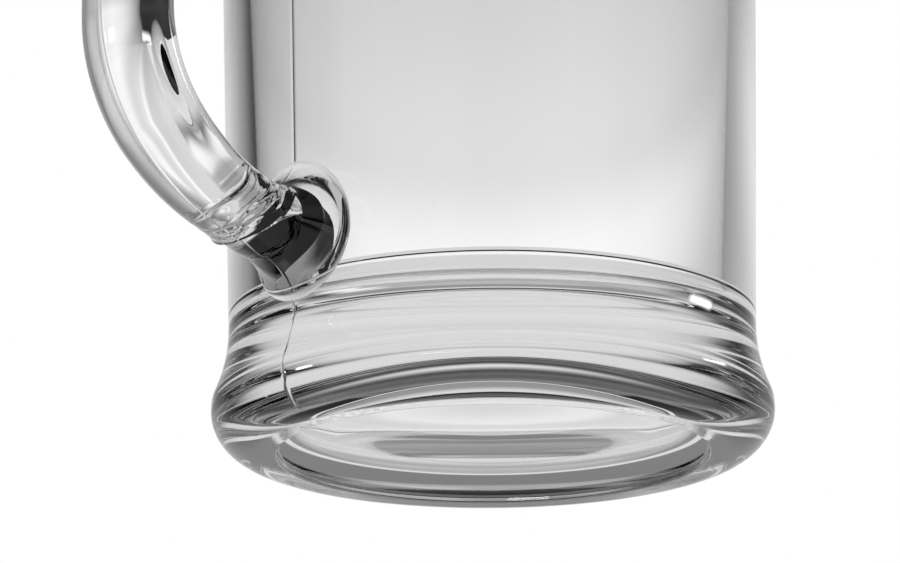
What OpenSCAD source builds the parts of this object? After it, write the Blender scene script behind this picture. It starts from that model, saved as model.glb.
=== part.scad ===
// Straight-sided pressed glass beer tankard with a round-backed handle.
// Millimetres. The origin is the centre of the ring that the mug stands on, +Z is up the
// bowl's axis and the handle points to -X, so that Y = 0 is the mug's plane of symmetry.

/* [Bowl] */
// Height of the mug from the table to the rim
mug_h = 150; // [128:1:180]
// Outer radius of the wall at the waist, just above the foot
waist_r = 42.7; // [38:0.1:50]
// How much wider the wall is at the rim than at the waist
wall_flare = 2.4; // [0.5:0.1:5]
// Thickness of the wall just under the rim
rim_wall = 2.9; // [2:0.1:4]
// Thickness of the wall where it meets the rounding of the floor
low_wall = 5.7; // [4.5:0.1:7]
// Height of the floor's edge above the table
floor_h = 17.4; // [14:0.1:24]
// Width of the flat rim round the dished middle of the floor
floor_rim = 5.1; // [2:0.1:8]
// How far the middle of the floor lies below its rim
floor_dish = 1.2; // [0.3:0.1:2]
// Radius of the rounding between the floor and the wall
floor_round = 6.2; // [4:0.1:10]

/* [Foot] */
// How far the foot stands out past the waist
foot_flare = 2.8; // [1.5:0.1:6]
// Radius of the rounding from the standing ring up to the widest line of the foot
foot_round = 7.3; // [5:0.1:9]
// Radius of the rounding above the widest line of the foot
foot_shoulder = 6.4; // [4:0.1:10]
// Radius of the hollow curve between the foot and the waist
waist_curve = 27.4; // [15:0.1:35]
// Width of the flat ring that the mug stands on
ring_w = 3; // [2:0.1:5]
// Height of the step from the standing ring up to the edge of the push-up
step_h = 1.1; // [1.1:0.1:3]
// How far the middle of the push-up is domed above its edge
push_up = 0.3; // [0.2:0.1:4]
// Radius of the roundings in the step
step_round = 0.4; // [0.2:0.1:0.5]

/* [Weld pads] */
// Height of the lower pad's centre above the table
pad_z = 29.6; // [26:0.1:36]
// Height of the rim above the upper pad's centre
rim_over_pad = 25.4; // [18:0.1:36]
// Width of a pad's foot round the bowl
pad_w = 22.4; // [19:0.1:27]
// Height of a pad's foot up the bowl
pad_tall = 22.4; // [18:0.1:23]
// How far the flat face of a pad stands off the wall
pad_h = 6; // [4.5:0.1:8]
// Height of the fine step where the foot of a pad has stopped on the wall
pad_edge = 0.3; // [0.2:0.05:0.6]
// Width of a pad's face, where the bar's neck goes on from it
neck_w = 16.6; // [14:0.1:18]
// Height of a pad's face
neck_tall = 10.6; // [9:0.1:12]

/* [Handle] */
// Distance from the waist of the bowl out to the middle of the grip
grip_reach = 35; // [33:0.1:45]
// Thickness of the grip, from its inner side to its back
grip_deep = 10.4; // [9:0.1:14]
// Width of the grip across the fingers
grip_w = 18.3; // [14:0.1:21]
// Thickness of the bar where the pressed collar ends
end_deep = 9.8; // [9:0.1:11]
// Width of the bar where the pressed collar ends
end_w = 17.6; // [15:0.1:18.4]
// Angle above the horizontal at which the bar leaves a pad
leave_a = 16; // [10:1:22]
// Angle above the horizontal at which the sweep passes into the bend
sweep_a = 47; // [40:1:60]
// Radius of the long sweep out of a pad
sweep_r = 35.9; // [30:0.1:42]
// Radius of the bend between the sweep and the straight grip
bend_r = 25.8; // [15:0.1:28]
// Length of the neck between a pad's face and the collar, along the middle line
neck_l = 3.3; // [3.1:0.1:5]
// Angle by which the plane of the collar leans back, above the horizontal
collar_a = 27; // [16:1:30]
// How far the lip of the collar stands out round the neck
collar_lip = 0.45; // [0.2:0.05:0.6]
// Length of bar above the collar that is wrinkled
weld_len = 6; // [4:0.1:9]
// Depth of the chill folds that run round the bar there
fold_depth = 0.25; // [0.1:0.05:0.4]

/* [Hidden] */

// Number of chill folds in the welded length
fold_count = 3;
// Angle of a fold's cycle by which the folds shift from the inner side of the bar to its back
fold_slant = 60;
// Part of the collar's lip over which it rises from the neck
lip_share = 0.25;
// Steps in a rounding of the bowl
round_steps = 12;
// Points round a pad, and rings from its foot to its face
pad_sides = 48;
pad_steps = 10;
// Steps in a shallow dome or dish
dome_steps = 8;
// How a dome rises to its middle: 1 is a plain cone, and 2 is a round dome
dome_curve = 2;
dish_curve = 1.5;
// Points round the bar
bar_sides = 32;
// Steps along a neck, along its folds, from there round to the grip, and along the grip
neck_steps = 3;
weld_steps = 15;
curve_steps = 14;
grip_steps = 4;
// Flat sides of a full turn, for the roundings of revolved shapes
turn_sides = 180;
// Colour of thick clear glass, and of the thicker glass in the handle
clear_glass = [0.82, 0.86, 0.86, 0.45];
deep_glass = [0.70, 0.75, 0.76, 0.6];

foot_r = waist_r + foot_flare;
rim_r = waist_r + wall_flare;
ring_out = foot_r - foot_round;
ring_in = ring_out - ring_w;
// Rise from the widest line of the foot to the waist, where both curves are tangent
curves = foot_shoulder + waist_curve;
waist_rise = sqrt(2 * foot_flare * curves - foot_flare * foot_flare);
waist_z = foot_round + waist_rise;
waist_a = atan2(waist_rise, curves - foot_flare);
wall_a = atan2(wall_flare, mug_h - waist_z);
rim_round = rim_wall / 2;
lip_gap = collar_lip * lip_share;
upper_pad_z = mug_h - rim_over_pad;

// Points of an arc about the centre [x, y], from one angle to another
function arc(x, y, radius, from_a, to_a, steps) =
    [for (i = [0:steps]) let (a = from_a + (to_a - from_a) * i / steps)
        [x + radius * cos(a), y + radius * sin(a)]];

// Points of a shallow dome, or of a dish, from its edge to the axis
function dome(edge_r, edge_z, rise, curve) =
    [for (i = [0:dome_steps]) let (share = 1 - i / dome_steps)
        [edge_r * share, edge_z + rise * (1 - pow(share, curve))]];

// Radius of the outside of the tapered wall at a height
function wall_r(z) = waist_r + wall_flare * (z - waist_z) / (mug_h - waist_z);

// Outer outline of the bowl, from the edge of the standing ring to the rim
function outer_line() = concat(
    arc(foot_r - foot_round, foot_round, foot_round, -90, 0, round_steps),
    arc(foot_r - foot_shoulder, foot_round, foot_shoulder,
        waist_a / round_steps, waist_a, round_steps - 1),
    arc(waist_r + waist_curve, waist_z, waist_curve,
        180 + waist_a * (1 - 1 / round_steps), 180 - wall_a, round_steps - 1),
    arc(rim_r - rim_round, mug_h - rim_round, rim_round, 0, 180, round_steps));

// Inner outline of the bowl, from the wall down to the middle of the floor
function inner_line() = let (
        corner_z = floor_h + floor_round,
        corner_r = wall_r(corner_z) - low_wall)
    concat(
        arc(corner_r - floor_round, corner_z, floor_round, 0, -90, round_steps),
        dome(corner_r - floor_round - floor_rim, floor_h, -floor_dish, dish_curve));

// Outline of the underside, from the middle of the push-up out to the standing ring
function under_line() = let (
        edge_r = ring_in - step_round,
        line = dome(edge_r - step_round, step_h, push_up, dome_curve))
    concat(
        [for (i = [dome_steps:-1:0]) line[i]],
        arc(edge_r - step_round, step_h - step_round, step_round, 75, 0, 4),
        arc(ring_in, step_round, step_round, 180, 270, 4));

// Everything inside the outer surface of the bowl, from which the pads are cut
module bowl_solid() {
    rotate_extrude($fn = turn_sides)
        polygon(concat([[0, 0]], outer_line(), [[0, mug_h]]));
}

module bowl() {
    color(clear_glass)
        rotate_extrude($fn = turn_sides)
            polygon(concat(outer_line(), inner_line(), under_line()));
}

// Closed skin over rings of points that all run the same way round
module loft(rings) {
    sides = len(rings[0]);
    last = (len(rings) - 1) * sides;
    next = [for (i = [0:sides - 1]) (i + 1) % sides];
    polyhedron(
        points = [for (ring = rings) each ring],
        faces = concat(
            [[for (i = [sides - 1:-1:0]) i]],
            [for (k = [0:sides:last - 1], i = [0:sides - 1])
                [k + i, k + next[i], k + sides + next[i]]],
            [for (k = [0:sides:last - 1], i = [0:sides - 1])
                [k + i, k + sides + next[i], k + sides + i]],
            [[for (i = [0:sides - 1]) last + i]]));
}

// A pad spreads like a trumpet from the neck of the bar to a round foot on the wall, which
// reaches into the wall as far as its root.
pad_root = rim_wall;
// How fast the trumpet opens: 2 is a straight cone, and more is more hollow
hollow_share = 2.7;

// Sizes of a pad at a step from its foot to its face: [stand off the wall, half width, half
// height]
function pad_size(step) = let (
        a = 90 * step / pad_steps,
        open = pow(cos(a), hollow_share),
        rise = pow(sin(a), hollow_share))
    [pad_edge + (pad_h - pad_edge) * rise,
     neck_w / 2 + (pad_w - neck_w) / 2 * open,
     neck_tall / 2 + (pad_tall - neck_tall) / 2 * open];

// Points round a pad at a height, for one of its sizes. The foot follows the round wall, and
// the rings grow flat towards the face.
function pad_ring(z, size) = let (flat = max(0, size[0] / pad_h))
    [for (i = [0:pad_sides - 1]) let (
            a = 360 * i / pad_sides,
            y = size[1] * sin(a),
            up = z + size[2] * cos(a),
            seat = sqrt(wall_r(up) * wall_r(up) - y * y))
        [-(seat * (1 - flat) + wall_r(z) * flat + size[0]), y, up]];

function pad_rings(z) = let (foot = pad_size(0))
    [for (size = concat([[-pad_root, foot[1], foot[2]]], [for (i = [0:pad_steps]) pad_size(i)]))
        pad_ring(z, size)];

// A pad at a height, seated on the curve of the wall
module pad(z) {
    color(deep_glass)
        difference() {
            loft(pad_rings(z));
            bowl_solid();
        }
}

module lower_pad() {
    pad(pad_z);
}

module upper_pad() {
    pad(upper_pad_z);
}

// The bar's middle line lies in the plane Y = 0. Each half of it, from a pad to the straight
// grip, is a short straight stretch, a long sweep and a tighter bend.
grip_out = waist_r + grip_reach;
sweep_out = sweep_r * (sin(sweep_a) - sin(leave_a));
bend_out = bend_r * (1 - sin(sweep_a));
sweep_l = arc_length(sweep_r, sweep_a - leave_a);
bend_l = arc_length(bend_r, 90 - sweep_a);

function arc_length(radius, turn) = PI * radius * turn / 180;

// Angle that a length of an arc turns through
function arc_turn(radius, length) = 180 * length / PI / radius;

// Length of the straight stretch that leaves the pad at a height
function straight_l(z) =
    (grip_out - wall_r(z) - pad_h - sweep_out - bend_out) / cos(leave_a);

function half_l(z) = straight_l(z) + sweep_l + bend_l;

// Station of the middle line at a length along it from the pad: [out, up, lean], its place
// out from the bowl's axis and up from the pad, and its lean above the horizontal
function bar_at(z, along) = let (
        straight = min(along, straight_l(z)),
        swept = min(max(along - straight_l(z), 0), sweep_l),
        bent = max(along - straight_l(z) - sweep_l, 0),
        sweep_end = leave_a + arc_turn(sweep_r, swept),
        bend_end = sweep_a + arc_turn(bend_r, bent))
    [wall_r(z) + pad_h + straight * cos(leave_a)
         + sweep_r * (sin(sweep_end) - sin(leave_a)) + bend_r * (sin(bend_end) - sin(sweep_a)),
     straight * sin(leave_a)
         + sweep_r * (cos(leave_a) - cos(sweep_end)) + bend_r * (cos(sweep_a) - cos(bend_end)),
     sweep_end + bend_end - sweep_a];

// Growth of the bar's section at a length past the collar's lip and an angle round the bar,
// by the lip and the chill folds, which run aslant round the bar
function fold_growth(past, a) = let (
        part = max(0, 1 - past / weld_len),
        lip = collar_lip * pow(part, 3) * (1 + sin(a) * sin(a)) / 2,
        fold = 4 * part * (1 - part) * sin(360 * fold_count * part + fold_slant * cos(a)))
    lip + fold_depth * fold;

// Size of the bar past the collar: [half width, half depth, tilt of its section's plane]
function bar_size(z, past, a) = let (
        slim = 1 - min(max(past + neck_l - straight_l(z), 0), sweep_l) / sweep_l,
        lean = bar_at(z, past + neck_l)[2],
        ease = max(0, 1 - past / weld_len),
        grow = fold_growth(past, a))
    [(grip_w + (end_w - grip_w) * slim) / 2 + grow,
     (grip_deep + (end_deep - grip_deep) * slim) / 2 + grow,
     lean + (collar_a - lean) * ease];

// Size of the neck, which narrows from the pad's face to the collar's lip and tilts with it
function neck_size(along) = let (share = along / neck_l)
    [(neck_w + (end_w - neck_w) * share) / 2,
     (neck_tall / cos(leave_a) + (end_deep - neck_tall / cos(leave_a)) * share) / 2,
     collar_a * share];

// Points round the bar at a length along it, for the lower end (turn 1) or the upper end
// (turn -1), which is the lower one turned over. The neck's first ring stands flat on the
// pad's face, and each section is as deep across the middle line as its size says.
function bar_ring(z, along, turn, neck) = let (station = bar_at(z, along))
    [for (i = [0:bar_sides - 1]) let (
            a = 360 * i / bar_sides,
            size = neck ? neck_size(along) : bar_size(z, along - neck_l, a),
            deep = size[1] / cos(size[2] - station[2]) * cos(a))
        [-station[0] + deep * sin(size[2]), size[0] * sin(a),
         z + turn * (station[1] + deep * cos(size[2]))]];

// Rings of one end of the bar, from the pad's face to the straight grip
function end_rings(z, turn) = concat(
    [for (i = [0:neck_steps]) bar_ring(z, neck_l * i / neck_steps, turn, true)],
    [for (i = [0:weld_steps - 1])
        bar_ring(z, neck_l + lip_gap + weld_len * i / weld_steps, turn, false)],
    let (bare = neck_l + lip_gap + weld_len)
        [for (i = [0:curve_steps])
            bar_ring(z, bare + (half_l(z) - bare) * i / curve_steps, turn, false)]);

function bar_rings() = let (
        low = end_rings(pad_z, 1),
        high = end_rings(upper_pad_z, -1))
    concat(low,
        [for (i = [1:grip_steps - 1]) let (share = i / grip_steps)
            low[len(low) - 1] * (1 - share) + high[len(high) - 1] * share],
        [for (i = [len(high) - 1:-1:0]) high[i]]);

module handle() {
    color(deep_glass)
        loft(bar_rings());
}

bowl();
lower_pad();
upper_pad();
handle();
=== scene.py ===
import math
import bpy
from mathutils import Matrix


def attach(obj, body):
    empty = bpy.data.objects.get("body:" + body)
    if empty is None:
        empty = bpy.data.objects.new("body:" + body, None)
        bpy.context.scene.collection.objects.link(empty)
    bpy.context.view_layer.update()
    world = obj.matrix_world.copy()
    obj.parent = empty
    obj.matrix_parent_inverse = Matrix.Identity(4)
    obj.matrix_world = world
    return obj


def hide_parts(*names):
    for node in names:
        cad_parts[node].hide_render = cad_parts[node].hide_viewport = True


bl_info = {
    "name": "Pressed glass beer mug",
    "version": (1, 0, 0),
    "blender": (4, 5, 0),
    "location": "View3D > Sidebar > Glass mug",
    "description": "A straight-sided pressed glass mug with welded handle, on a pale studio floor",
    "category": "Object",
}

import bpy
from bpy.props import FloatProperty, FloatVectorProperty, IntProperty, PointerProperty
from mathutils import Matrix, Vector, noise

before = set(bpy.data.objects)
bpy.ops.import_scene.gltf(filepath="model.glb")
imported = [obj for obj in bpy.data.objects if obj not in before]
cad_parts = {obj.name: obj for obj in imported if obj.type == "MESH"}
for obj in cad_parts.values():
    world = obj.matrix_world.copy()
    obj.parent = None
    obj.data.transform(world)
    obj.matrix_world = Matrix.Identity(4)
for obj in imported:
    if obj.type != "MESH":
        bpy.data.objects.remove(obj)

MM = 0.001


def length(name, millimetres, description):
    """A size that a user may change, kept in metres."""
    return FloatProperty(name=name, description=description, default=millimetres * MM,
                         precision=5, unit="LENGTH")


def angle(name, degrees, description):
    """An angle that a user may change."""
    return FloatProperty(name=name, description=description, default=math.radians(degrees),
                         subtype="ANGLE")


def share(name, value, description):
    """A plain number that a user may change."""
    return FloatProperty(name=name, description=description, default=value, precision=3)


def tint(name, value, description):
    """A colour that a user may change."""
    return FloatVectorProperty(name=name, description=description, default=value,
                               subtype="COLOR", min=0, max=1)


# Sizes


class BowlSizes(bpy.types.PropertyGroup):
    """Sizes of the pressed bowl and its foot."""

    height: length("Height", 150, "From the table to the rim")
    waist_r: length("Waist radius", 42.7, "Outer radius just above the foot")
    wall_flare: length("Wall flare", 2.4, "How much wider the wall is at the rim")
    rim_wall: length("Rim wall", 2.9, "Thickness of the wall under the rim")
    low_wall: length("Low wall", 5.7, "Thickness of the wall just above the floor")
    floor_h: length("Floor height", 17.4, "Height of the floor's edge")
    floor_rim: length("Floor rim", 5.1, "Width of the flat rim round the dished middle")
    floor_dish: length("Floor dish", 1.2, "How far the floor's middle lies below its rim")
    floor_round: length("Floor rounding", 6.2, "Radius between the floor and the wall")
    plunger_mark: length("Plunger mark", 0.16, "Depth of the line above the floor rounding")
    foot_flare: length("Foot flare", 2.8, "How far the foot stands out past the waist")
    foot_round: length("Foot rounding", 7.3, "Radius from the standing ring to the widest line")
    foot_shoulder: length("Foot shoulder", 6.4, "Radius above the widest line")
    waist_curve: length("Waist curve", 27.4, "Radius of the hollow above the foot")
    ring_w: length("Ring width", 3, "Width of the ring that the mug stands on")
    step_h: length("Step height", 1.1, "From the standing ring up to the push-up")
    push_up: length("Push-up", 0.3, "Rise of the push-up's middle")
    step_round: length("Step rounding", 0.4, "Radius of the roundings in the step")
    around: IntProperty(name="Steps around", description="Flat sides of the turned bowl",
                        default=384, min=24)


class WeldSizes(bpy.types.PropertyGroup):
    """Sizes of the two pads that the handle is welded to."""

    low_z: length("Lower pad", 29.6, "Height of the lower pad's centre")
    rim_over: length("Rim over pad", 25.4, "From the upper pad's centre up to the rim")
    wide: length("Width", 22.4, "Width of the foot round the bowl")
    tall: length("Height", 22.4, "Height of the foot up the bowl")
    stand: length("Stand", 6, "How far the pad's face stands off the wall")
    edge: length("Edge", 0.06, "Height of the fine step round the foot")
    neck_wide: length("Neck width", 16.6, "Width of the pad's face")
    neck_tall: length("Neck height", 10.6, "Height of the pad's face")
    hollow: share("Hollow", 2.7, "How fast the trumpet opens: 2 is a straight cone")
    root: length("Root", 2.2, "Depth of the pad's root in the wall")


class HandleSizes(bpy.types.PropertyGroup):
    """Sizes of the bent bar."""

    reach: length("Reach", 35, "From the waist of the bowl out to the middle of the grip")
    deep: length("Grip depth", 10.4, "Thickness of the grip")
    wide: length("Grip width", 18.3, "Width of the grip")
    end_deep: length("End depth", 9.8, "Thickness of the bar at the collar")
    end_wide: length("End width", 17.6, "Width of the bar at the collar")
    leave: angle("Leave", 16, "Angle above the horizontal at which the bar leaves a pad")
    sweep: angle("Sweep", 47, "Angle at which the sweep passes into the bend")
    sweep_r: length("Sweep radius", 35.9, "Radius of the long sweep")
    bend_r: length("Bend radius", 25.8, "Radius of the bend to the straight grip")
    neck: length("Neck", 3.3, "Length of the neck between a pad and the collar")
    collar_tilt: angle("Collar tilt", 27, "Slope of the plane in which the collar lies")
    lip: length("Lip", 0.5, "How far the collar's lip stands out of the bar")
    folds: length("Folds", 5.8, "Length of bar that is wrinkled by the chill")
    fold_depth: length("Fold depth", 0.13, "Depth of the chill wrinkles")
    pressed: length("Pressed", 0.9, "How far one corner of the lip is pulled towards the bowl")


# Mesh helpers


DOUBLED = 0.002 * MM
SEAM_HALF_WIDTH = 0.11 * MM
SEAM_RIDGE = 0.06 * MM
FACING = 0.999


def alone(piece):
    """Selects one object and nothing else, and makes it the active one."""
    bpy.ops.object.select_all(action="DESELECT")
    piece.select_set(True)
    bpy.context.view_layer.objects.active = piece


class Editing:
    """Edit mode on one object for the length of a with block, with all or nothing picked."""

    def __init__(self, piece, mode="VERT", picked=False):
        self.piece = piece
        self.mode = mode
        self.picked = picked

    def __enter__(self):
        alone(self.piece)
        bpy.ops.object.mode_set(mode="EDIT")
        bpy.ops.mesh.select_mode(type=self.mode)
        bpy.ops.mesh.select_all(action="SELECT" if self.picked else "DESELECT")

    def __exit__(self, *failure):
        bpy.ops.object.mode_set(mode="OBJECT")


def named(name):
    """Names the object that was just added, and its mesh."""
    piece = bpy.context.object
    piece.name = name
    piece.data.name = name
    return piece


def first_point(name, place):
    """A new object that is one point, to be drawn out into a line."""
    bpy.ops.mesh.primitive_plane_add(size=MM, location=(0, 0, 0))
    piece = named(name)
    with Editing(piece, picked=True):
        bpy.ops.mesh.merge(type="CENTER")
        bpy.ops.transform.translate(value=place)
    return piece


def draw_on(points):
    """Draws a line on from the picked point, which stands at the first of the points."""
    for here, there in zip(points, points[1:]):
        step = Vector(there) - Vector(here)
        bpy.ops.mesh.extrude_region_move(TRANSFORM_OT_translate={"value": step})


def first_ring(name, sides, ring):
    """A new object that is one upright oval ring, facing along X. See next_ring for a ring."""
    place, wide, tall, _ = ring
    bpy.ops.mesh.primitive_circle_add(vertices=sides, radius=1, fill_type="NOTHING",
                                      rotation=(math.pi / 2, 0, math.pi / 2))
    piece = named(name)
    bpy.ops.object.transform_apply(location=True, rotation=True, scale=True)
    with Editing(piece, picked=True):
        bpy.ops.transform.resize(value=(1, wide, tall), center_override=(0, 0, 0))
        bpy.ops.transform.translate(value=place)
    return piece


def next_ring(old, new):
    """Extrudes the picked oval ring to the next one. A ring is (centre, half width, half
    depth, lean of its plane's normal above the horizontal, towards -X). With no window the
    rotate operator turns the other way, so its angles have the opposite sign."""
    centre, wide, deep, lean = old
    bpy.ops.mesh.extrude_edges_move()
    if lean:
        bpy.ops.transform.rotate(value=lean, orient_axis="Y", center_override=centre)
    bpy.ops.transform.resize(value=(1, new[1] / wide, new[2] / deep), center_override=centre)
    bpy.ops.transform.translate(value=Vector(new[0]) - Vector(centre))
    if new[3]:
        bpy.ops.transform.rotate(value=-new[3], orient_axis="Y", center_override=new[0])


def close_up(piece):
    """Merges doubled points and turns all faces outwards."""
    with Editing(piece, picked=True):
        bpy.ops.mesh.remove_doubles(threshold=DOUBLED)
        bpy.ops.mesh.normals_make_consistent(inside=False)


def raise_seam(piece, rise):
    """Cuts a narrow strip along the plane Y = 0 and raises its middle to a fine ridge, where
    the two halves of the mould met. The ridge's height comes from rise(place, normal)."""
    with Editing(piece):
        for side in (-SEAM_HALF_WIDTH, SEAM_HALF_WIDTH):
            bpy.ops.mesh.select_all(action="SELECT")
            bpy.ops.mesh.bisect(plane_co=(0, side, 0), plane_no=(0, 1, 0))
    mesh = piece.data
    moves = [(v.index, v.normal * rise(v.co, v.normal)) for v in mesh.vertices
             if abs(v.co.y) < 0.001 * MM]
    for index, move in moves:
        mesh.vertices[index].co += move


def apply_modifier(piece, kind, **settings):
    """Adds one modifier with its settings and applies it."""
    alone(piece)
    modifier = piece.modifiers.new(kind, kind)
    for name, value in settings.items():
        setattr(modifier, name, value)
    bpy.ops.object.modifier_apply(modifier=modifier.name)


def smooth(piece, degrees):
    """Shades an object smoothly, apart from edges sharper than an angle."""
    alone(piece)
    bpy.ops.object.shade_smooth_by_angle(angle=math.radians(degrees))


def place_piece(piece, slot, *stands_for):
    """Puts a finished piece on the mug's one body."""
    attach(piece, "root")
    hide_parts(*stands_for)


def arc(x, y, radius, start, end, steps):
    """Points of an arc, with its angles in degrees."""
    turns = [math.radians(start + (end - start) * i / steps) for i in range(steps + 1)]
    return [(x + radius * math.cos(a), y + radius * math.sin(a)) for a in turns]


def straight(start, end, steps):
    """Points between two others, without the two. The first and the last lie close to the
    ends, so that the smooth shading of a curve there doesn't run into the straight part."""
    close = 0.3 * MM / math.dist(start, end)
    places = [close] + [i / steps for i in range(1, steps)] + [1 - close]
    return [(start[0] + (end[0] - start[0]) * place, start[1] + (end[1] - start[1]) * place)
            for place in places]


# Shader helpers


class Number:
    """A shader socket that takes part in plain arithmetic."""

    def __init__(self, nodes, socket):
        self.nodes = nodes
        self.socket = socket

    def math(self, operation, *others):
        return self.nodes.add("ShaderNodeMath", {"operation": operation},
                              dict(enumerate((self, *others))))

    def __add__(self, other):
        return self.math("ADD", other)

    def __radd__(self, other):
        return self.math("ADD", other)

    def __sub__(self, other):
        return self.math("SUBTRACT", other)

    def __rsub__(self, other):
        return self.nodes.add("ShaderNodeMath", {"operation": "SUBTRACT"}, {0: other, 1: self})

    def __mul__(self, other):
        return self.math("MULTIPLY", other)

    def __rmul__(self, other):
        return self.math("MULTIPLY", other)

    def __pow__(self, other):
        return self.math("POWER", other)

    def __abs__(self):
        return self.math("ABSOLUTE")

    def least(self, other):
        return self.math("MINIMUM", other)

    def most(self, other):
        return self.math("MAXIMUM", other)

    def ramp(self, low, high, start=0.0, end=1.0):
        """Smoothly from start to end as the number goes from low to high."""
        return self.nodes.add("ShaderNodeMapRange", {"interpolation_type": "SMOOTHSTEP"}, {
            "Value": self, "From Min": low, "From Max": high, "To Min": start, "To Max": end})


class Nodes:
    """The node tree of a material or the world, emptied and built anew."""

    def __init__(self, tree):
        self.tree = tree
        tree.nodes.clear()

    def add(self, kind, settings=None, inputs=None, output=0):
        """Adds a node and gives one of its outputs."""
        node = self.tree.nodes.new(kind)
        for name, value in (settings or {}).items():
            setattr(node, name, value)
        for name, value in (inputs or {}).items():
            if isinstance(value, Number):
                self.tree.links.new(value.socket, node.inputs[name])
            else:
                node.inputs[name].default_value = value
        return Number(self, node.outputs[output]) if node.outputs else None

    def axes(self, vector):
        """The three coordinates of a vector."""
        return [self.add("ShaderNodeSeparateXYZ", None, {0: vector}, output=i) for i in range(3)]

    def ray(self, kind):
        """1 for the rays of one kind, and 0 for all others."""
        return self.add("ShaderNodeLightPath", output=kind)


def new_material(name):
    """A new material and its empty node tree."""
    material = bpy.data.materials.new(name)
    material.use_nodes = True
    return material, Nodes(material.node_tree)


# The bowl


UNDER_STEPS = 14
DISH_STEPS = 36
MARK_TALL = 0.5 * MM
SEAM_FROM_R = 40 * MM
SEAM_FROM_Z = 1.2 * MM
SEAM_BELOW_RIM = 4 * MM
FAR_SEAM_RIDGE = 0.012 * MM


def wall_line(bowl):
    """Waist height, its rise over the foot's widest line, and a function that gives the outer
    wall's radius at a height."""
    curves = bowl.foot_shoulder + bowl.waist_curve
    rise = math.sqrt(2 * bowl.foot_flare * curves - bowl.foot_flare ** 2)
    waist_z = bowl.foot_round + rise
    slope = bowl.wall_flare / (bowl.height - waist_z)
    return waist_z, rise, lambda z: bowl.waist_r + slope * (z - waist_z)


def outer_wall(context):
    """The function that gives the outer wall's radius at a height."""
    return wall_line(context.scene.mug_bowl)[2]


def standing_ring(bowl):
    """Outer and inner radius of the flat ring that the mug stands on."""
    outer = bowl.waist_r + bowl.foot_flare - bowl.foot_round
    return outer, outer - bowl.ring_w


def bowl_outline(bowl):
    """Half section of the bowl as (radius, height), from the middle of the underside round
    over the foot and the rim to the middle of the floor."""
    waist_z, rise, wall_r = wall_line(bowl)
    curves = bowl.foot_shoulder + bowl.waist_curve
    waist_a = math.degrees(math.atan2(rise, curves - bowl.foot_flare))
    wall_a = math.degrees(math.atan2(bowl.wall_flare, bowl.height - waist_z))
    foot_r = bowl.waist_r + bowl.foot_flare
    rim_r = bowl.waist_r + bowl.wall_flare
    rim_round = bowl.rim_wall / 2
    ring_out, ring_in = standing_ring(bowl)
    edge_r = ring_in - bowl.step_round
    dome_r = edge_r - bowl.step_round
    corner_z = bowl.floor_h + bowl.floor_round
    corner_r = wall_r(corner_z) - bowl.low_wall
    floor_r = corner_r - bowl.floor_round
    dish_r = floor_r - bowl.floor_rim
    # The last point lies close to the step, which keeps the smooth shading there narrow.
    under = [(dome_r * i / UNDER_STEPS, bowl.step_h + bowl.push_up * (1 - (i / UNDER_STEPS) ** 2))
             for i in (*range(UNDER_STEPS), UNDER_STEPS - 0.1)]
    step = arc(dome_r, bowl.step_h - bowl.step_round, bowl.step_round, 75, 0, steps=8)
    inner_ring = arc(ring_in, bowl.step_round, bowl.step_round, 180, 270, steps=8)
    foot = arc(ring_out, bowl.foot_round, bowl.foot_round, -90, 0, steps=32)
    shoulder = arc(foot_r - bowl.foot_shoulder, bowl.foot_round, bowl.foot_shoulder,
                   0, waist_a, steps=16)
    waist = arc(bowl.waist_r + bowl.waist_curve, waist_z, bowl.waist_curve,
                180 + waist_a, 180 - wall_a, steps=30)
    rim = arc(rim_r - rim_round, bowl.height - rim_round, rim_round, 0, 180, steps=20)
    wall_foot = (corner_r, corner_z + MARK_TALL)
    mark = (corner_r - bowl.plunger_mark, corner_z + MARK_TALL / 2)
    corner = arc(floor_r, corner_z, bowl.floor_round, 0, -90, steps=36)
    inwards = [1 - i / DISH_STEPS for i in range(DISH_STEPS + 1)]
    dish = [(dish_r * part, bowl.floor_h - bowl.floor_dish * (1 - part ** 2) ** 2)
            for part in inwards]
    return (under + step + inner_ring + straight(inner_ring[-1], foot[0], steps=3) + foot
            + shoulder[1:] + waist[1:] + straight(waist[-1], rim[0], steps=12) + rim
            + straight(rim[-1], wall_foot, steps=12) + [wall_foot, mark] + corner + dish)


class MUG_OT_bowl(bpy.types.Operator):
    """Turn the bowl from its half section, raise its mould seams and sink the weld sockets"""

    bl_idname = "mug.bowl"
    bl_label = "Bowl"

    def execute(self, context):
        bowl = context.scene.mug_bowl
        points = [(r, 0, z) for r, z in bowl_outline(bowl)]
        piece = first_point("mug_bowl", points[0])
        with Editing(piece, picked=True):
            draw_on(points)
            bpy.ops.mesh.select_all(action="SELECT")
            bpy.ops.mesh.spin(steps=bowl.around, angle=math.tau, center=(0, 0, 0),
                              axis=(0, 0, 1), use_auto_merge=True)
        close_up(piece)

        def rise(co, normal):
            outside = co.x * normal.x > 0 and abs(co.x) >= SEAM_FROM_R
            if outside and SEAM_FROM_Z < co.z < bowl.height - SEAM_BELOW_RIM:
                return SEAM_RIDGE if co.x < 0 else FAR_SEAM_RIDGE
            return 0

        raise_seam(piece, rise)
        piece.data.materials.append(bowl_glass(context))
        for z in pad_heights(context):
            cutter = socket_cutter(context, z)
            apply_modifier(piece, "BOOLEAN", operation="DIFFERENCE", solver="EXACT",
                           object=cutter, material_mode="TRANSFER")
            bpy.data.objects.remove(cutter)
        smooth(piece, degrees=32)
        place_piece(piece, "bowl_glass", "bowl")
        return {"FINISHED"}


# Pads


PAD_SIDES = 128
PAD_STEPS = 28
PAD_SEAT = 0.01 * MM
CUTTER_LONG = 12 * MM


def pad_heights(context):
    """Heights of the middles of the two pads."""
    bowl = context.scene.mug_bowl
    weld = context.scene.mug_weld
    return weld.low_z, bowl.height - weld.rim_over


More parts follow.
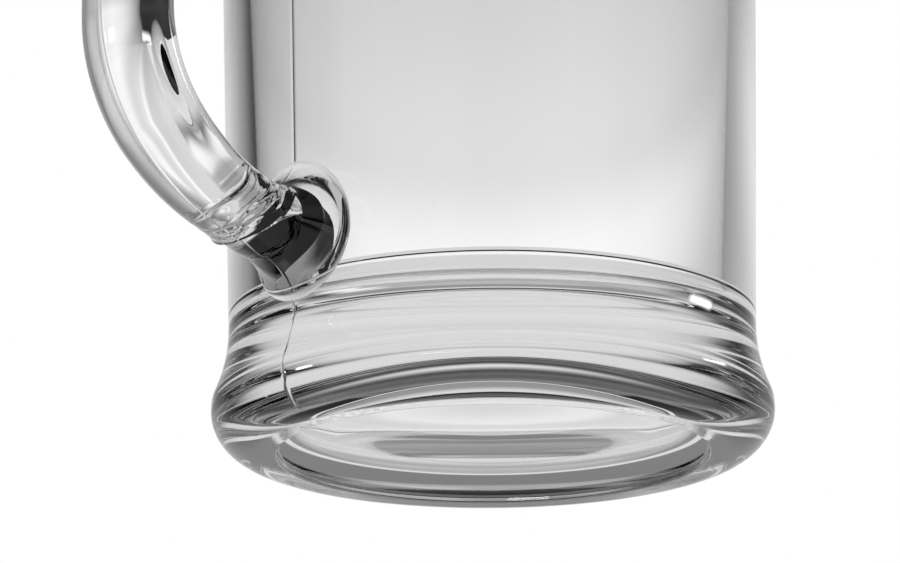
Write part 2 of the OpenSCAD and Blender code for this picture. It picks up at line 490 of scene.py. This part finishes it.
def pad_face(context, z):
    """Place of a pad's flat face along X."""
    return -(outer_wall(context)(z) + context.scene.mug_weld.stand)


def root_ring(context, z):
    """The oval of a pad's root as a ring."""
    weld = context.scene.mug_weld
    return (-(outer_wall(context)(z) - weld.root), 0, z), weld.wide / 2, weld.tall / 2, 0


def socket_cutter(context, z):
    """A prism of the pad's root, which cuts the socket and leaves its own material there."""
    piece = first_ring("socket_cutter", PAD_SIDES, root_ring(context, z))
    with Editing(piece, mode="EDGE", picked=True):
        bpy.ops.mesh.edge_face_add()
        bpy.ops.mesh.select_all(action="SELECT")
        bpy.ops.mesh.extrude_region_move(TRANSFORM_OT_translate={"value": (-CUTTER_LONG, 0, 0)})
    close_up(piece)
    piece.data.materials.append(contact_glass())
    return piece


def pad_stands(weld):
    """Sizes of a pad from its seat on the wall to its face, as (stand off the wall, half
    width, half height). It opens towards the wall like a trumpet."""
    sizes = [(PAD_SEAT, weld.wide / 2, weld.tall / 2)]
    for i in range(PAD_STEPS + 1):
        turn = math.pi / 2 * i / PAD_STEPS
        open_part = max(0, math.cos(turn)) ** weld.hollow
        rise = math.sin(turn) ** weld.hollow
        sizes.append((weld.edge + (weld.stand - weld.edge) * rise,
                      (weld.neck_wide + (weld.wide - weld.neck_wide) * open_part) / 2,
                      (weld.neck_tall + (weld.tall - weld.neck_tall) * open_part) / 2))
    return sizes


def make_pad(context, name, z):
    """Draws out one pad ring by ring and seats it on the wall."""
    weld = context.scene.mug_weld
    wall_r = outer_wall(context)
    face_x = pad_face(context, z)
    root = root_ring(context, z)
    root_x = root[0][0]
    sizes = pad_stands(weld)
    rings = [root] + [((-(wall_r(z) + stand), 0, z), wide, tall, 0)
                      for stand, wide, tall in sizes]
    piece = first_ring(name, PAD_SIDES, root)
    with Editing(piece, mode="EDGE", picked=True):
        for old, new in zip(rings, rings[1:]):
            next_ring(old, new)
        bpy.ops.mesh.edge_face_add()
    # The rings are seated on the round wall at the foot, and flat at the face.
    for index, vertex in enumerate(piece.data.vertices):
        row = index // PAD_SIDES
        if row > 0:
            stand = sizes[row - 1][0]
            seat = math.sqrt(wall_r(vertex.co.z) ** 2 - vertex.co.y ** 2)
            flat = stand / weld.stand
            vertex.co.x = -(seat * (1 - flat) + wall_r(z) * flat + stand)
    with Editing(piece, mode="EDGE"):
        bpy.ops.mesh.select_non_manifold()
        bpy.ops.mesh.edge_face_add()
    close_up(piece)

    def rise(co, normal):
        return SEAM_RIDGE * (face_x + 0.05 * MM < co.x < -wall_r(z) - 0.5 * MM)

    raise_seam(piece, rise)
    piece.data.materials.append(pad_glass(context))
    piece.data.materials.append(contact_glass())
    # The faces of contact are the root, all that lies in the wall, and the face for the bar.
    for face in piece.data.polygons:
        x, y, height = face.center
        at_ends = x > root_x - 0.01 * MM or x < face_x + 0.01 * MM
        inside = math.hypot(x, y) < wall_r(height) + 0.004 * MM
        contact = abs(face.normal.x) > FACING and at_ends or inside
        face.material_index = 1 if contact else 0
    smooth(piece, degrees=40)
    return piece


class MUG_OT_pads(bpy.types.Operator):
    """Draw out the two weld pads ring by ring and seat them on the wall"""

    bl_idname = "mug.pads"
    bl_label = "Weld pads"

    def execute(self, context):
        low, high = pad_heights(context)
        place_piece(make_pad(context, "mug_lower_pad", low), "handle_glass", "lower_pad")
        place_piece(make_pad(context, "mug_upper_pad", high), "handle_glass", "upper_pad")
        return {"FINISHED"}


# The handle


BAR_SIDES = 128
NECK_STEPS = 6
FOLD_STEPS = 56
CURVE_STEPS = 56

# Along the bar: how far the wrinkles' border lies before the end of the folds and how it
# wanders, the lengths of broad and fine wrinkles, and the length of the lip's slope.
BORDER_BACK = 1.2 * MM
BORDER_SWAY = 0.5 * MM
BORDER_SWAY_FAST = 0.4 * MM
BROAD_WAVE = 2.6 * MM
FINE_WAVE = 0.55 * MM
LIP_SLOPE = 1.8 * MM

# Depth of the groove at the border, height of the swelling before it and of the bulge at the
# lip's corner, and how far the lip's edge wanders along the bar.
BORDER_GROOVE = 0.12 * MM
BORDER_SWELL = 0.07 * MM
CORNER_BULGE = 0.25 * MM
LIP_WANDER = 0.3 * MM


def bar_line(context, z):
    """Length of half of the bar's middle line from the pad at a height, a function that gives
    its place (out from the axis, up from the pad) and lean at a length along it, and one that
    falls from 1 at the weld to 0 at the end of the sweep."""
    bar = context.scene.mug_bar
    start = -pad_face(context, z)
    out = context.scene.mug_bowl.waist_r + bar.reach
    sweep_out = bar.sweep_r * (math.sin(bar.sweep) - math.sin(bar.leave))
    bend_out = bar.bend_r * (1 - math.sin(bar.sweep))
    first = (out - start - sweep_out - bend_out) / math.cos(bar.leave)
    sweep_l = bar.sweep_r * (bar.sweep - bar.leave)
    bend_l = bar.bend_r * (math.pi / 2 - bar.sweep)

    def place(along):
        run = min(along, first)
        swept = bar.leave + min(max(along - first, 0), sweep_l) / bar.sweep_r
        bent = bar.sweep + max(along - first - sweep_l, 0) / bar.bend_r
        return (start + run * math.cos(bar.leave)
                + bar.sweep_r * (math.sin(swept) - math.sin(bar.leave))
                + bar.bend_r * (math.sin(bent) - math.sin(bar.sweep)),
                run * math.sin(bar.leave)
                + bar.sweep_r * (math.cos(bar.leave) - math.cos(swept))
                + bar.bend_r * (math.cos(bar.sweep) - math.cos(bent)),
                swept + bent - bar.sweep)

    def slim(along):
        return 1 - min(max(along - first, 0), sweep_l) / sweep_l

    return first + sweep_l + bend_l, place, slim


def bar_stations(context, z):
    """Lengths along half of the bar's middle line at which its rings stand."""
    bar = context.scene.mug_bar
    total = bar_line(context, z)[0]
    folded = bar.neck + bar.folds
    return ([bar.neck * i / NECK_STEPS for i in range(NECK_STEPS + 1)]
            + [bar.neck + bar.lip * 0.2 + bar.folds * i / FOLD_STEPS for i in range(FOLD_STEPS)]
            + [folded + (total - folded) * (i / CURVE_STEPS) for i in range(CURVE_STEPS + 1)])


def bar_half(context, z, up):
    """Rings of half of the bar, from the pad's face to the middle of the grip. The upper
    half is the lower one turned over."""
    bar = context.scene.mug_bar
    weld = context.scene.mug_weld
    _, place, slim = bar_line(context, z)
    rings = []
    for step, along in enumerate(bar_stations(context, z)):
        out, rise, lean = place(along)
        if step <= NECK_STEPS:
            part = along / bar.neck
            tilt = bar.collar_tilt * part
            face_deep = weld.neck_tall / math.cos(bar.leave)
            deep = (face_deep + (bar.end_deep - face_deep) * part) / 2
            wide = (weld.neck_wide + (bar.end_wide - weld.neck_wide) * part) / 2
            if step == 0:
                deep = weld.neck_tall / 2 * math.cos(lean)
        else:
            ease = max(0.0, 1 - (along - bar.neck) / bar.folds)
            tilt = lean + (bar.collar_tilt - lean) * ease
            lip = bar.lip * ease ** 6
            deep = (bar.deep + (bar.end_deep - bar.deep) * slim(along)) / 2 + lip
            wide = (bar.wide + (bar.end_wide - bar.wide) * slim(along)) / 2 + lip
        deep /= math.cos(tilt - lean)
        rings.append(((-out, 0, z + up * rise), wide, deep, tilt if up > 0 else math.pi - tilt))
    return rings


def bump_at(value, centre, width):
    """A smooth bump of height 1."""
    return math.exp(-((value - centre) / width) ** 2)


def chill_mark(bar, past, turn, end):
    """Rise of the wrinkled skin at a length past the collar's lip and an angle round the bar,
    and how far the skin there is pulled towards the bowl."""
    across = Vector((math.cos(turn), math.sin(turn), 0))
    sway = BORDER_SWAY * math.sin(2 * turn + end) + BORDER_SWAY_FAST * math.cos(3 * turn)
    border = bar.folds - BORDER_BACK + sway
    part = min(1.0, past / border)
    fade = math.sqrt(max(0.0, part * (1 - part))) * 2
    broad = noise.noise(across * 1.5 + Vector((0, 0, (past + sway) / BROAD_WAVE + 9 * end)))
    fine = noise.noise(across * 4 + Vector((5, 0, (past + sway) / FINE_WAVE + 9 * end)))
    rise = bar.fold_depth * (2.2 * broad + 0.12 * fine) * fade
    rise -= BORDER_GROOVE * bump_at(past, border, 0.5 * MM)
    rise += BORDER_SWELL * bump_at(past, border - 0.9 * MM, 0.6 * MM)
    lip = max(0.0, 1 - past / LIP_SLOPE)
    rise += lip ** 2 * bar.lip * 0.6 * math.sin(turn) ** 2
    corner = bump_at(turn, -1.05 if end == 0 else 0.9, 0.3)
    pull = lip * (bar.pressed * corner + LIP_WANDER * math.sin(3 * turn + 1))
    return rise + CORNER_BULGE * corner * lip, pull


def press_chill_marks(context, piece, rings, stations, end):
    """Moves the skin of one end of the bar by its chill marks. The rings are in the order in
    which their points were made, the far end's from its last ring back."""
    bar = context.scene.mug_bar
    vertices = piece.data.vertices
    rows = len(vertices) // BAR_SIDES
    for step in range(NECK_STEPS + 1, NECK_STEPS + 1 + FOLD_STEPS):
        past = stations[step] - bar.neck
        centre, wide, deep, lean = rings[step]
        row = step if end == 0 else rows - 1 - step
        middle = Vector(centre)
        up = Vector((math.sin(lean), 0, math.cos(lean)))
        along = Vector((-math.cos(lean), 0, math.sin(lean)))
        for vertex in vertices[row * BAR_SIDES:(row + 1) * BAR_SIDES]:
            arm = vertex.co - middle
            turn = math.atan2(arm.y / wide, arm.dot(up) / deep)
            rise, pull = chill_mark(bar, past, turn if end == 0 else -turn, end)
            out = Vector((0, math.sin(turn) / wide, 0)) + up * (math.cos(turn) / deep)
            vertex.co += out.normalized() * rise - along * pull * (1 if end == 0 else -1)


class MUG_OT_handle(bpy.types.Operator):
    """Sweep the oval bar from the lower pad round the grip to the upper pad"""

    bl_idname = "mug.handle"
    bl_label = "Handle"

    def execute(self, context):
        low, high = pad_heights(context)
        ends = bar_half(context, low, 1), bar_half(context, high, -1)
        rings = ends[0] + ends[1][::-1]
        piece = first_ring("mug_handle", BAR_SIDES, rings[0])
        with Editing(piece, mode="EDGE", picked=True):
            for old, new in zip(rings, rings[1:]):
                next_ring(old, new)
        for end, z in enumerate((low, high)):
            press_chill_marks(context, piece, ends[end], bar_stations(context, z), end)
        with Editing(piece, mode="EDGE"):
            bpy.ops.mesh.select_non_manifold()
            bpy.ops.mesh.fill_holes(sides=0)
        close_up(piece)
        raise_seam(piece, lambda co, normal: SEAM_RIDGE * (abs(normal.y) < 0.3))
        piece.data.materials.append(bar_glass(context))
        piece.data.materials.append(contact_glass())
        faces = [pad_face(context, z) for z in (low, high)]
        for face in piece.data.polygons:
            off = min(abs(face.center.x - x) for x in faces)
            if face.normal.x > FACING and off < 0.02 * MM:
                face.material_index = 1
        smooth(piece, degrees=40)
        place_piece(piece, "handle_glass", "handle")
        return {"FINISHED"}


# Glass


class GlassFinish(bpy.types.PropertyGroup):
    """Finish of the clear pressed glass."""

    colour: tint("Colour", (0.99, 0.99, 0.99), "Colour of the clear glass")
    cords: tint("Cords", (0.975, 0.98, 0.98), "Colour of the faint cords in the glass")
    bend: share("Refraction", 1.52, "Refractive index of soda glass")
    scuffs: share("Scuffs", 0.12, "Roughness of the scuffs on the standing ring")
    waviness: length("Waviness", 0.003, "Depth of the long waves of the fire-polished skin")
    pebbles: length("Pebbles", 0.0006, "Depth of the finer unevenness of the skin")
    hatching: length("Hatching", 0.006, "Depth of the radial hatching on the standing ring")
    hatches: IntProperty(name="Hatches", description="Strokes of hatching round the ring",
                         default=420, min=0)
    chill: length("Chill", 0.006, "Depth of the finest wrinkles by a weld")


DUST_ROUGHNESS = 0.2
SEED_DEPTH = 0.02 * MM
SCRATCH_DEPTH = 0.01 * MM
SCRATCH_ROUGHNESS = 0.25
PAD_RING_GAP = 0.9 * MM
PAD_RING_DEPTH = 0.0008 * MM


def noise_at(nodes, where, size, detail=2.0):
    """Noise between 0 and 1 with waves of a size in metres."""
    return nodes.add("ShaderNodeTexNoise", None, {
        "Vector": where, "Scale": 1 / size, "Detail": detail, "Roughness": 0.5})


def stretched(nodes, where, scale, turn=(0, 0, 0)):
    """Coordinates in which a pattern is drawn out along the axes with a small scale."""
    return nodes.add("ShaderNodeMapping", None, {
        "Vector": where, "Rotation": turn, "Scale": scale})


def specks(nodes, where, spacing, size, kept):
    """Sparse round specks: 1 at the middle of a speck, and 0 between them. The space is cut
    into cells as large as the spacing, and only a share of them is kept."""
    spots, chance = (nodes.add("ShaderNodeTexVoronoi", None,
                               {"Vector": where, "Scale": 1 / spacing}, output=i)
                     for i in range(2))
    chance = nodes.add("ShaderNodeSeparateColor", None, {0: chance})
    return spots.ramp(size / spacing, 0.3 * size / spacing) * chance.math("LESS_THAN", kept)


def scratches(nodes, where, turn, spacing, kept):
    """Sparse thin strokes in one direction."""
    return specks(nodes, stretched(nodes, where, (1, 0.07, 0.07), turn), spacing,
                  0.05 * spacing, kept)


def skin(nodes, where, finish):
    """Height in metres of the fire-polished skin of the glass."""
    long_waves = noise_at(nodes, where, size=14 * MM, detail=0.0)
    short_waves = noise_at(nodes, where, size=2.5 * MM, detail=1.0)
    seeds = specks(nodes, where, spacing=9 * MM, size=0.35 * MM, kept=0.12)
    return finish.waviness * long_waves + finish.pebbles * short_waves + SEED_DEPTH * seeds


def clear_glass(finish, name, surface):
    """Clear glass. The surface function gives its roughness and its skin's height in metres."""
    material = bpy.data.materials.get(name)
    if material is not None:
        return material
    material, nodes = new_material(name)
    where = nodes.add("ShaderNodeTexCoord", output=3)
    roughness, height = surface(nodes, where)
    cords = noise_at(nodes, stretched(nodes, where, (1, 1, 0.2)), size=12 * MM, detail=1.0)
    colour = nodes.add("ShaderNodeMix", {"data_type": "RGBA"}, {
        0: cords.ramp(0.5, 0.75), 6: (*finish.colour, 1), 7: (*finish.cords, 1)}, output=2)
    normal = nodes.add("ShaderNodeBump", None, {
        "Height": height, "Strength": 1.0, "Distance": 1.0})
    shader = nodes.add("ShaderNodeBsdfPrincipled", None, {
        "Base Color": colour, "Transmission Weight": 1.0, "IOR": finish.bend,
        "Roughness": roughness, "Normal": normal})
    nodes.add("ShaderNodeOutputMaterial", None, {"Surface": shader})
    return material


def bowl_glass(context):
    """Fire-polished glass with a hatched and scuffed standing ring and a few fine scratches."""
    finish = context.scene.mug_glass
    ring_out, ring_in = standing_ring(context.scene.mug_bowl)

    def surface(nodes, where):
        x, y, z = nodes.axes(where)
        radius = (x * x + y * y) ** 0.5
        ring = (radius.ramp(ring_in - 0.2 * MM, ring_in + 0.2 * MM)
                * radius.ramp(ring_out + 1.2 * MM, ring_out) * z.ramp(0.5 * MM, 0.1 * MM))
        strokes = (y.math("ARCTAN2", x) * finish.hatches).math("SINE")
        wear = noise_at(nodes, where, size=1.1 * MM, detail=3.0).ramp(0.42, 0.62)
        marks = (scratches(nodes, where, turn=(0.4, 0.9, 0.3), spacing=11 * MM, kept=0.25)
                 .most(scratches(nodes, where, turn=(1.2, 0.1, 2.2), spacing=14 * MM, kept=0.25)))
        marks = marks * z.ramp(30 * MM, 20 * MM)
        roughness = finish.scuffs * ring * wear + SCRATCH_ROUGHNESS * marks
        height = (skin(nodes, where, finish) + finish.hatching * ring * strokes * wear
                  - SCRATCH_DEPTH * marks)
        return roughness, height

    return clear_glass(finish, "pressed_bowl_glass", surface)


def pad_glass(context):
    """Glass of a pad, with fine rings where it spread on the wall."""
    finish = context.scene.mug_glass
    low, high = pad_heights(context)
    foot_r = outer_wall(context)(low)

    def surface(nodes, where):
        x, y, z = nodes.axes(where)
        off = abs(z - low).least(abs(z - high))
        reach = (y * y + off * off) ** 0.5
        wander = 2.5 * noise_at(nodes, where, size=5 * MM)
        swirl = (reach * (math.tau / PAD_RING_GAP) + wander).math("SINE")
        foot = (-1 * x).ramp(foot_r + 3 * MM, foot_r + 0.8 * MM)
        dust = specks(nodes, where, spacing=3 * MM, size=0.15 * MM, kept=0.2)
        return DUST_ROUGHNESS * dust, skin(nodes, where, finish) + PAD_RING_DEPTH * swirl * foot

    return clear_glass(finish, "weld_pad_glass", surface)


def bar_glass(context):
    """Glass of the bar: long soft streaks along the grip, and wrinkles by the welds."""
    finish = context.scene.mug_glass
    bar = context.scene.mug_bar
    low, high = pad_heights(context)
    face_x = pad_face(context, low)
    folded = bar.neck + bar.folds

    def surface(nodes, where):
        x, y, z = nodes.axes(where)
        off = abs(z - low).least(abs(z - high))
        from_face = ((face_x - x) ** 2 + off * off) ** 0.5
        near = from_face.ramp(folded + 2 * MM, folded - 2 * MM)
        chill = noise_at(nodes, stretched(nodes, where, (1, 0.35, 0.8)), size=MM, detail=3.0)
        streaks = noise_at(nodes, stretched(nodes, where, (1, 1, 0.12)), size=4 * MM, detail=1.0)
        height = (skin(nodes, where, finish) + finish.chill * near * chill
                  + 2 * finish.pebbles * streaks)
        dust = specks(nodes, where, spacing=4 * MM, size=0.15 * MM, kept=0.15)
        return DUST_ROUGHNESS * dust, height

    return clear_glass(finish, "fire_polished_handle_glass", surface)


def contact_glass():
    """Where two gathers of glass have fused there is no surface: light passes straight on."""
    material = bpy.data.materials.get("fused_contact")
    if material is None:
        material, nodes = new_material("fused_contact")
        shader = nodes.add("ShaderNodeBsdfPrincipled", None, {"Alpha": 0.0})
        nodes.add("ShaderNodeOutputMaterial", None, {"Surface": shader})
    return material


# The stage


class StageSettings(bpy.types.PropertyGroup):
    """Camera, floor and studio light."""

    distance: FloatProperty(name="Distance", description="From the camera to the mug's foot",
                            default=0.9, unit="LENGTH")
    turn: angle("Turn", -44, "Camera's angle round the mug, from -Y towards +X")
    rise: angle("Rise", -13.05, "Camera's angle above the table")
    roll: angle("Roll", 0.487, "Camera's roll")
    lens: share("Lens", 223.47, "Focal length in millimetres on a sensor 36 mm wide")
    aim: FloatVectorProperty(name="Aim", size=2, subtype="NONE",
                             description="Angles by which the camera looks past the foot",
                             default=(math.radians(0.4441), math.radians(1.7853)))
    floor: tint("Floor", (0.86, 0.86, 0.86), "Colour of the pale floor")
    window: length("Window", 90, "Radius of floor under the mug that is clear glass to the mug")
    plain: share("Plain light", 0.9, "Level of the light on the floor")
    panel: share("Back panel", 1.0, "Level of the bright panel behind the mug")
    surround: share("Surround", 0.25, "Level of the grey surroundings in the glass")
    below: share("Below", 0.42, "Level that the pale table adds below the horizon in the glass")
    soft_box: share("Soft box", 0.2, "Level of the large soft box at the right")
    reflector: share("Reflector", 0.5, "Level of the reflector low at the left")
    lamp: share("Lamp", 25, "Level of the three small lamps in highlights")


# Patches of the studio as seen from the mug, in degrees: from and to sideways, with 0 straight
# behind the mug and plus at the camera's right, from and to upwards, and half of the width of
# the soft edge.
SOFT_BOX = (100, 166, 9, 48, 8)
REFLECTOR = (-70, -45, -60, -46, 4)
LAMPS = ((-103, -95, 0, 4, 1.5), (-172, -151, -6, -2, 2), (68, 82, 20, 22, 2))

# Dark flags, as (share of the light that is taken away, patch): at the left, at the right, and
# three above the panel, each higher than the one before.
FLAGS = (
    (0.95, (-112, -42, -46, 24, 7)),
    (0.85, (50, 140, -30, 4, 6)),
    (0.85, (-50, 50, 24, 38, 4)),
    (0.65, (-44, 48, 38, 57, 6)),
    (0.95, (-60, 60, 62, 84, 4)),
)

# The panel's shaded upper right corner, its tone at the bottom, and the changes of its tone as
# (from height, to height, change).
PANEL_CORNER = (0.6, (36, 60, 19, 32, 4))
PANEL_TONE = 0.3
PANEL_CHANGES = (
    (-40, -20, 0.44),
    (11.5, 13.4, 0.38),
    (13.5, 14.6, -0.27),
    (14.6, 16.6, -0.12),
    (17, 20, 0.3),
)


class MUG_OT_stage(bpy.types.Operator):
    """Set up the camera, the pale floor and the studio light"""

    bl_idname = "mug.stage"
    bl_label = "Stage"

    def execute(self, context):
        stage = context.scene.mug_stage
        self.camera(context, stage)
        self.floor(stage)
        self.studio(context, stage)
        context.scene.view_settings.view_transform = "Standard"
        return {"FINISHED"}

    def camera(self, context, stage):
        """A long lens that looks up at the mug from below the level of the floor."""
        away = Vector((math.sin(stage.turn) * math.cos(stage.rise),
                       -math.cos(stage.turn) * math.cos(stage.rise), math.sin(stage.rise)))
        look = -away
        right = look.cross(Vector((0, 0, 1))).normalized()
        view = Matrix((right, right.cross(look), away))
        view = Matrix.Rotation(stage.roll, 3, "Z") @ view
        view = Matrix.Rotation(-stage.aim[1], 3, "X") @ view
        view = Matrix.Rotation(-stage.aim[0], 3, "Y") @ view
        data = bpy.data.cameras.new("camera")
        data.lens = stage.lens
        data.sensor_width = 36
        data.clip_start = 0.01
        camera = bpy.data.objects.new("camera", data)
        context.scene.collection.objects.link(camera)
        placed = Matrix.Translation(away * stage.distance)
        camera.matrix_world = placed @ view.transposed().to_4x4()
        context.scene.camera = camera

    def floor(self, stage):
        """A pale floor that is clear from below. Rays that come out of the glass also pass
        through it near the mug, and mirrored ones far from it."""
        bpy.ops.mesh.primitive_plane_add(size=4, location=(0, 0, -0.2 * MM))
        floor = bpy.context.object
        floor.name = "floor"
        material, nodes = new_material("pale_floor")
        pale = nodes.add("ShaderNodeBsdfDiffuse", None, {"Color": (*stage.floor, 1)})
        clear = nodes.add("ShaderNodeBsdfTransparent")
        below = nodes.add("ShaderNodeNewGeometry", output=6)
        shiny = nodes.ray("Is Glossy Ray")
        through = nodes.ray("Is Transmission Ray")
        x, y, _ = nodes.axes(nodes.add("ShaderNodeTexCoord", output=3))
        radius = (x * x + y * y) ** 0.5
        window = radius.ramp(stage.window * 1.2, stage.window)
        far = radius.ramp(stage.window * 4, stage.window * 5)
        mirrored = shiny * (1 - through)
        surface = nodes.add("ShaderNodeMixShader", None, {
            0: below.most(window * shiny.most(through)).most(far * mirrored), 1: pale, 2: clear})
        nodes.add("ShaderNodeOutputMaterial", None, {"Surface": surface})
        floor.data.materials.append(material)

    def studio(self, context, stage):
        """A white backdrop for the camera. Glass sees a studio: a bright panel behind the mug,
        dark flags at both sides of it and above it, a soft box at the right, a reflector low
        at the left and, as highlights only, three small lamps."""
        world = bpy.data.worlds.new("studio")
        context.scene.world = world
        world.use_nodes = True
        nodes = Nodes(world.node_tree)
        direction = nodes.add("ShaderNodeTexCoord", output=0)
        turned = nodes.add("ShaderNodeVectorRotate", {"rotation_type": "Z_AXIS"},
                           {"Vector": direction, "Angle": -stage.turn})
        right, ahead, up = nodes.axes(turned)
        side = right.math("ARCTAN2", ahead) * (180 / math.pi)
        height = up.math("ARCSINE") * (180 / math.pi)

        def box(from_side, to_side, from_height, to_height, edge):
            """1 in a soft-edged patch of directions, and 0 outside it."""
            return (side.ramp(from_side - edge, from_side + edge)
                    * side.ramp(to_side + edge, to_side - edge)
                    * height.ramp(from_height - edge, from_height + edge)
                    * height.ramp(to_height + edge, to_height - edge))

        level = height.ramp(-2, 8, 0.08, stage.surround) + stage.below * height.ramp(-6, -20)
        level = level + stage.soft_box * box(*SOFT_BOX)
        for taken, patch in FLAGS:
            level = level * (1 - taken * box(*patch))
        level = level + stage.reflector * box(*REFLECTOR)
        # The panel narrows towards its top.
        wide = side.ramp(-58, -22) * side.ramp(57, 36)
        narrow = side.ramp(-43, 4) * side.ramp(57, -2)
        narrowing = height.ramp(2, 14)
        panel = wide * (1 - narrowing) + narrow * narrowing
        panel = panel * height.ramp(-64, -54) * height.ramp(34, 19)
        panel = panel * (1 - PANEL_CORNER[0] * box(*PANEL_CORNER[1]))
        tone = PANEL_TONE
        for low, high, change in PANEL_CHANGES:
            tone = tone + change * height.ramp(low, high)
        level = level * (1 - panel) + stage.panel * panel * tone
        lamps = sum(box(*patch) for patch in LAMPS)
        camera = nodes.ray("Is Camera Ray")
        shiny = nodes.ray("Is Glossy Ray")
        through = nodes.ray("Is Transmission Ray")
        seen = shiny.most(through)
        level = level * seen + stage.lamp * lamps * shiny * (1 - through) + stage.plain * (1 - seen)
        level = level * (1 - camera) + camera
        shader = nodes.add("ShaderNodeBackground", None, {"Color": level, "Strength": 1.0})
        nodes.add("ShaderNodeOutputWorld", None, {"Surface": shader})


class MUG_PT_panel(bpy.types.Panel):
    """The mug's operators, in the order in which they are run"""

    bl_idname = "MUG_PT_panel"
    bl_label = "Glass mug"
    bl_space_type = "VIEW_3D"
    bl_region_type = "UI"
    bl_category = "Glass mug"

    def draw(self, context):
        for operator in OPERATORS:
            self.layout.operator(operator.bl_idname)


OPERATORS = (MUG_OT_stage, MUG_OT_bowl, MUG_OT_pads, MUG_OT_handle)
CLASSES = (BowlSizes, WeldSizes, HandleSizes, GlassFinish, StageSettings, *OPERATORS, MUG_PT_panel)


def register():
    for cls in CLASSES:
        bpy.utils.register_class(cls)
    bpy.types.Scene.mug_bowl = PointerProperty(type=BowlSizes)
    bpy.types.Scene.mug_weld = PointerProperty(type=WeldSizes)
    bpy.types.Scene.mug_bar = PointerProperty(type=HandleSizes)
    bpy.types.Scene.mug_glass = PointerProperty(type=GlassFinish)
    bpy.types.Scene.mug_stage = PointerProperty(type=StageSettings)


def unregister():
    for name in ("mug_stage", "mug_glass", "mug_bar", "mug_weld", "mug_bowl"):
        delattr(bpy.types.Scene, name)
    for cls in reversed(CLASSES):
        bpy.utils.unregister_class(cls)


def main():
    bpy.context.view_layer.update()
    register()
    bpy.ops.mug.stage()
    bpy.ops.mug.bowl()
    bpy.ops.mug.pads()
    bpy.ops.mug.handle()


if __name__ == "__main__":
    main()
